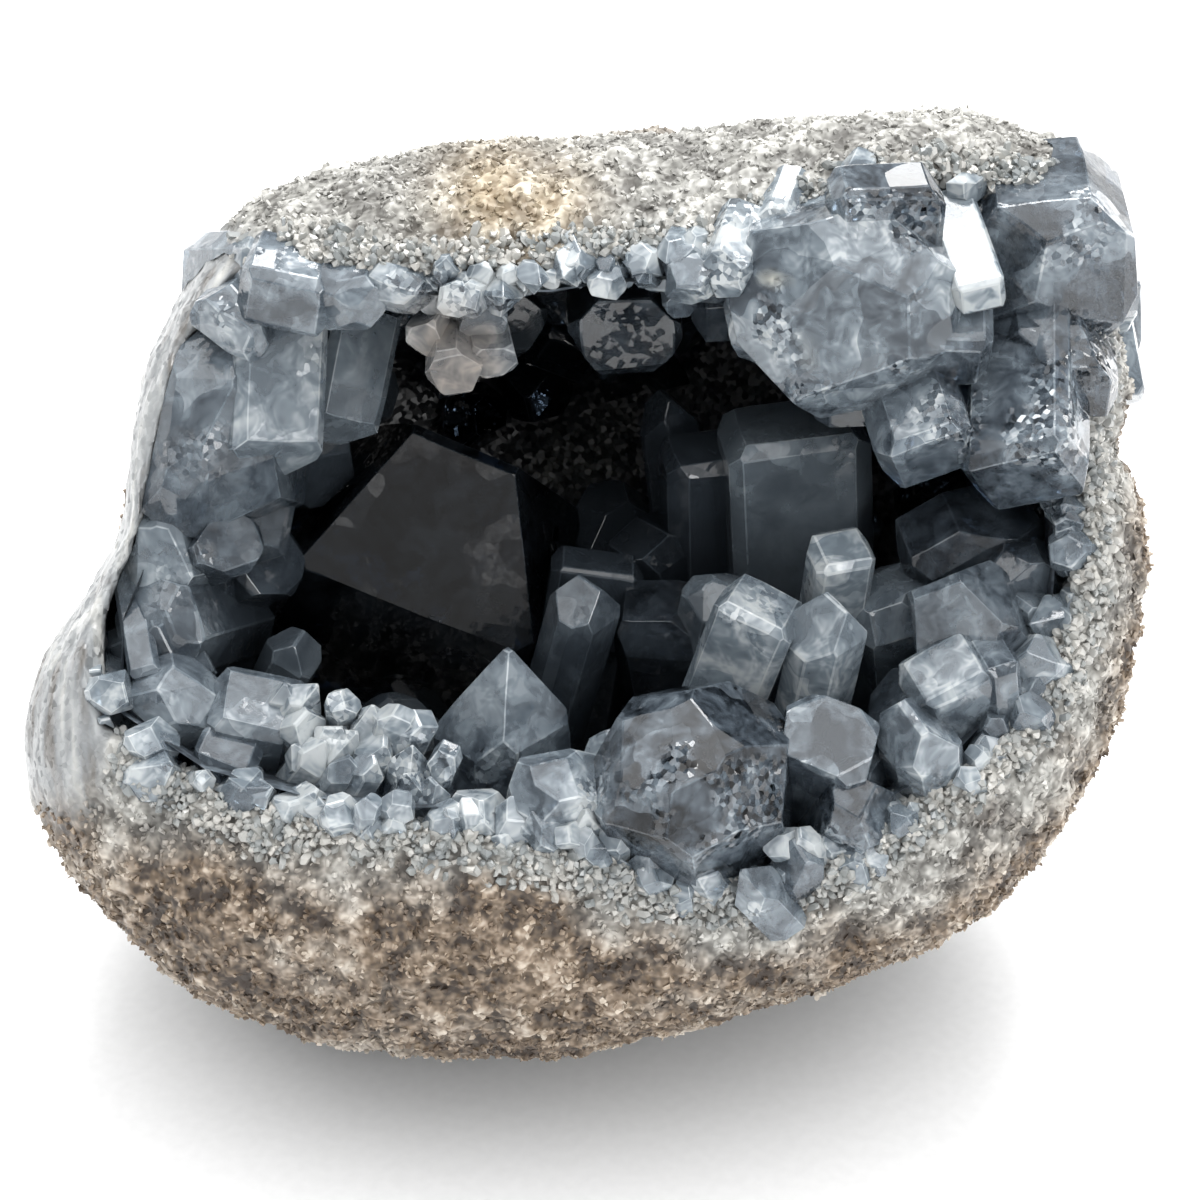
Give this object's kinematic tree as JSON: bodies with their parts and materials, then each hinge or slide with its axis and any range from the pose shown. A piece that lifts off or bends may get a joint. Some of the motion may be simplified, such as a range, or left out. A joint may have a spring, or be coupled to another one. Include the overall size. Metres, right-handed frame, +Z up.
{
  "type": "celestite geode",
  "caption": "Hollow boulder of granular rock, broken open at the front and lined with large blue-grey celestite crystals; it rests on a small flat spot.",
  "frame": {"origin": "on the surface the geode rests on, under the middle of its bounding box", "axes": "+Z up; +X to the right of someone who looks into the hollow, along the geode's longest extent; -Y out of the hollow, towards that person"},
  "size_m": [0.1761, 0.1414, 0.1497],
  "materials": {
    "granular_rock": "matt, sugary grains, pale at the rim and stained tan below",
    "celestite": "glassy, see-through with milky veils and frosted faces"
  },
  "bodies": {
    "root": {"rock_shell": "granular_rock", "crystal_crust": "celestite"}
  },
  "joints": []
}
